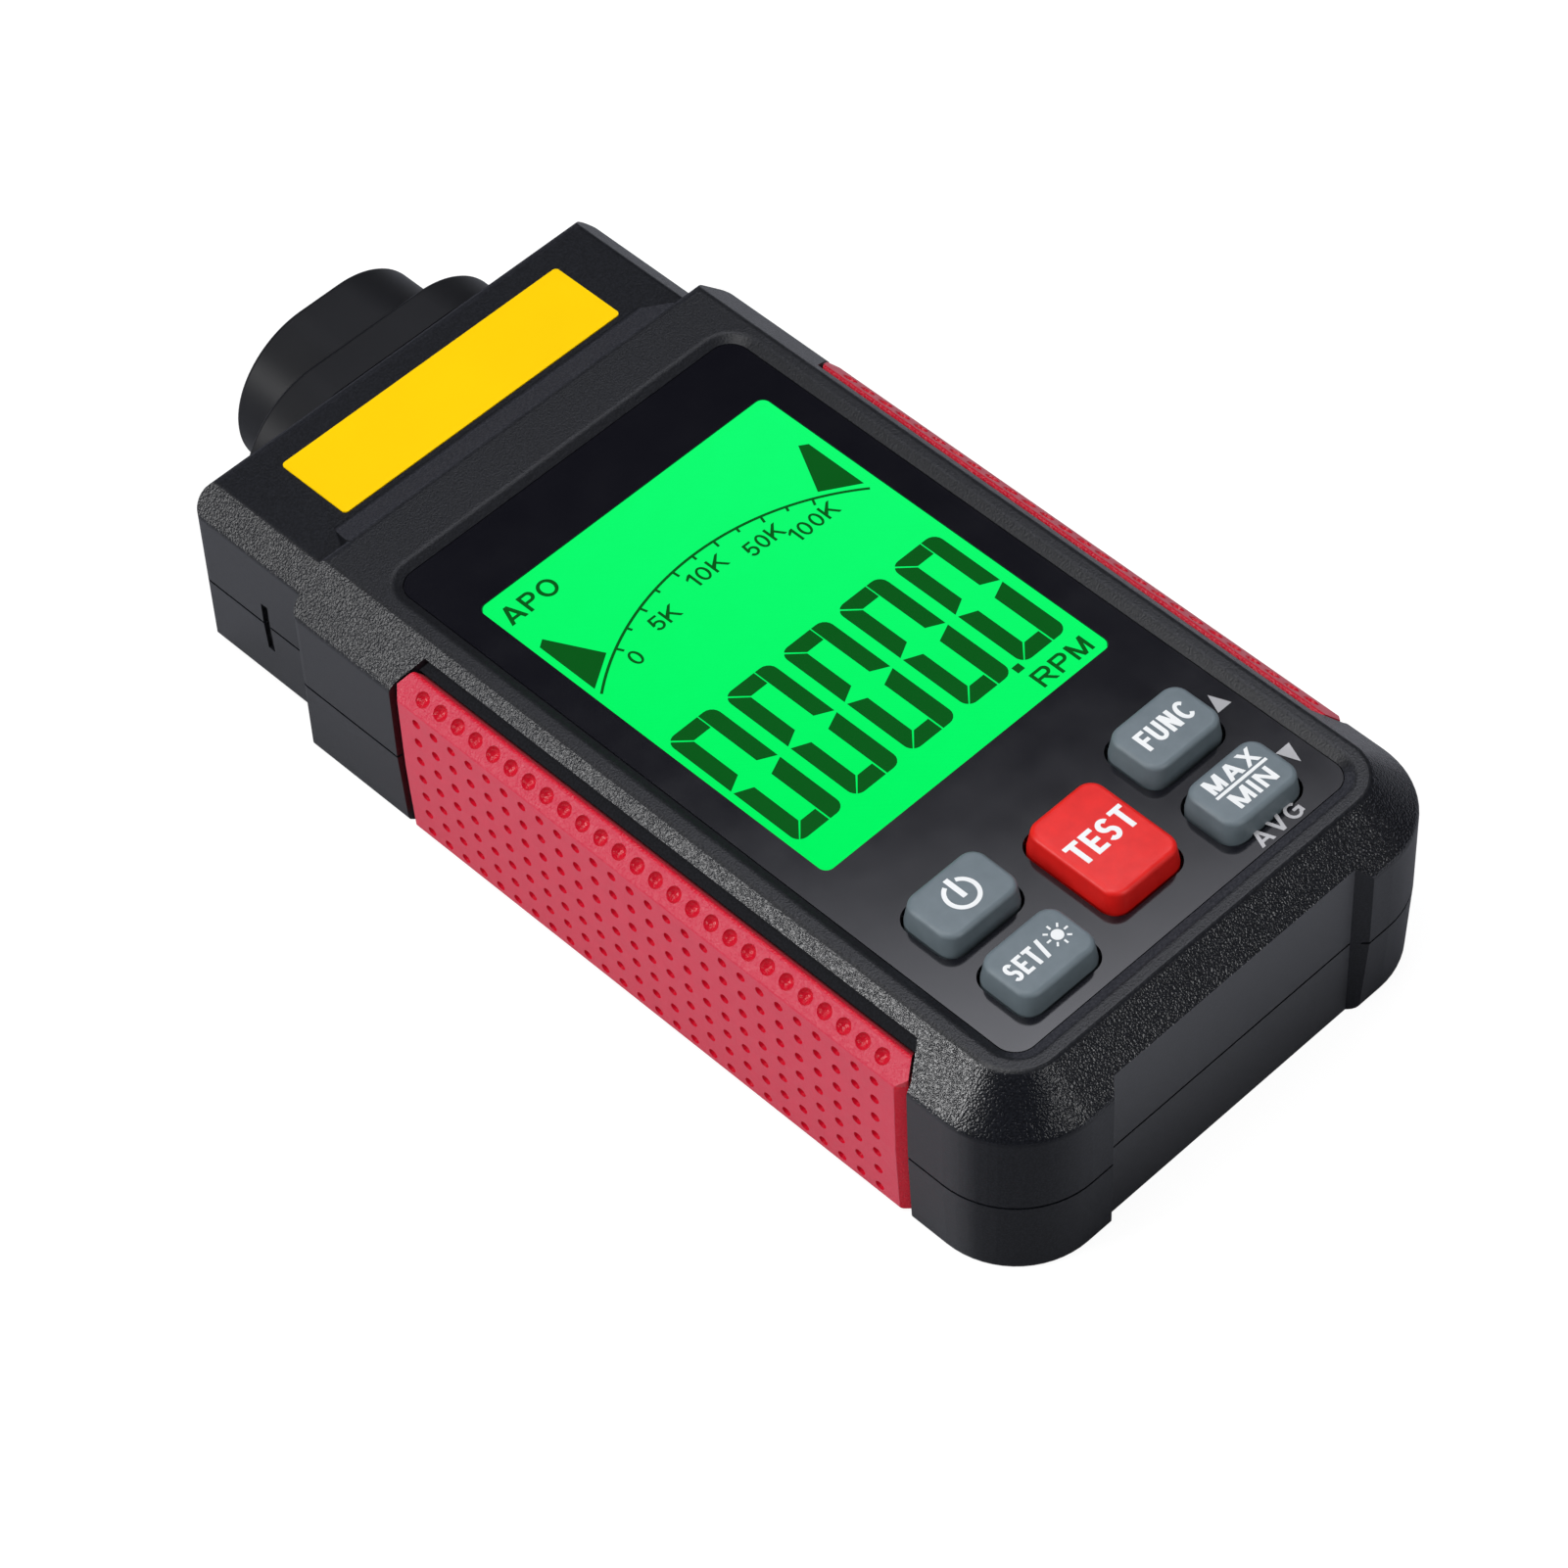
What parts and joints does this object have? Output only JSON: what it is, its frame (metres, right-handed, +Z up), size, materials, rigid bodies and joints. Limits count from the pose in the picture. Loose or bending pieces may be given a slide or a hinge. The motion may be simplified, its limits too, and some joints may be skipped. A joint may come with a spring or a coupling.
{
  "type": "laser tachometer",
  "caption": "Pocket laser tachometer: dark two-shell case with dimpled red grips, green display, rubber keys and an oval nose hood for the laser and its receiver.",
  "frame": {"origin": "middle of the footprint, on the surface that the instrument lies on", "axes": "+Y from the rear end towards the nose, +Z up out of the display, +X to the right as the display is read"},
  "size_m": [0.0628, 0.1316, 0.0278],
  "materials": {
    "housing": "moulded ABS, spark-textured",
    "barrel": "satin moulded ABS",
    "panel": "gloss printed overlay",
    "window": "clear acrylic",
    "display": "lit liquid crystal cell, green",
    "diffuser": "white light guide",
    "elastomer": "silicone rubber",
    "circuit_board": "solder-masked laminate",
    "chip": "moulded epoxy",
    "contact_pads": "plated copper",
    "grey_key": "satin silicone rubber",
    "red_key": "satin silicone rubber",
    "grip": "soft satin elastomer",
    "label": "plain yellow film",
    "laser_case": "turned brass",
    "lens": "clear lens",
    "cell": "sleeved steel can",
    "plated_steel": "nickel plated"
  },
  "bodies": {
    "body": {"front_shell": "housing", "rear_shell": "housing", "nose_barrel": "barrel", "front_panel": "panel", "display_window": "window", "lcd_glass": "display", "backlight": "diffuser", "connector_strips": "elastomer", "main_board": "circuit_board", "controller_chip": "chip", "key_contacts": "contact_pads", "keypad_mat": "elastomer", "grip_left": "grip", "grip_right": "grip", "label_plate": "label", "laser_module": "laser_case", "laser_lens": "lens", "receiver_lens": "lens", "photodiode": "chip", "sensor_board": "circuit_board", "cell_left": "cell", "cell_middle": "cell", "cell_right": "cell", "spring_contacts": "plated_steel", "cap_contacts": "plated_steel", "case_screws": "plated_steel", "board_screws": "plated_steel"},
    "power_key": {"key_power": "grey_key"},
    "set_key": {"key_set": "grey_key"},
    "test_key": {"key_test": "red_key"},
    "func_key": {"key_func": "grey_key"},
    "max_min_key": {"key_max_min": "grey_key"},
    "door": {"battery_door": "housing"}
  },
  "joints": [
    {"name": "power_press", "type": "slide", "parent": "body", "child": "power_key", "axis": [0, 0, -1], "range_m": [0, 0.0008], "stiffness_N_per_m": 300},
    {"name": "set_press", "type": "slide", "parent": "body", "child": "set_key", "axis": [0, 0, -1], "range_m": [0, 0.0008], "stiffness_N_per_m": 300},
    {"name": "test_press", "type": "slide", "parent": "body", "child": "test_key", "axis": [0, 0, -1], "range_m": [0, 0.0008], "stiffness_N_per_m": 300},
    {"name": "func_press", "type": "slide", "parent": "body", "child": "func_key", "axis": [0, 0, -1], "range_m": [0, 0.0008], "stiffness_N_per_m": 300},
    {"name": "max_min_press", "type": "slide", "parent": "body", "child": "max_min_key", "axis": [0, 0, -1], "range_m": [0, 0.0008], "stiffness_N_per_m": 300},
    {"name": "door_hinge", "type": "hinge", "parent": "body", "child": "door", "pos_m": [0, -0.00285, 0.00105], "axis": [1, 0, 0], "range_deg": [0, 60], "stiffness_Nm_per_rad": 0.5}
  ]
}
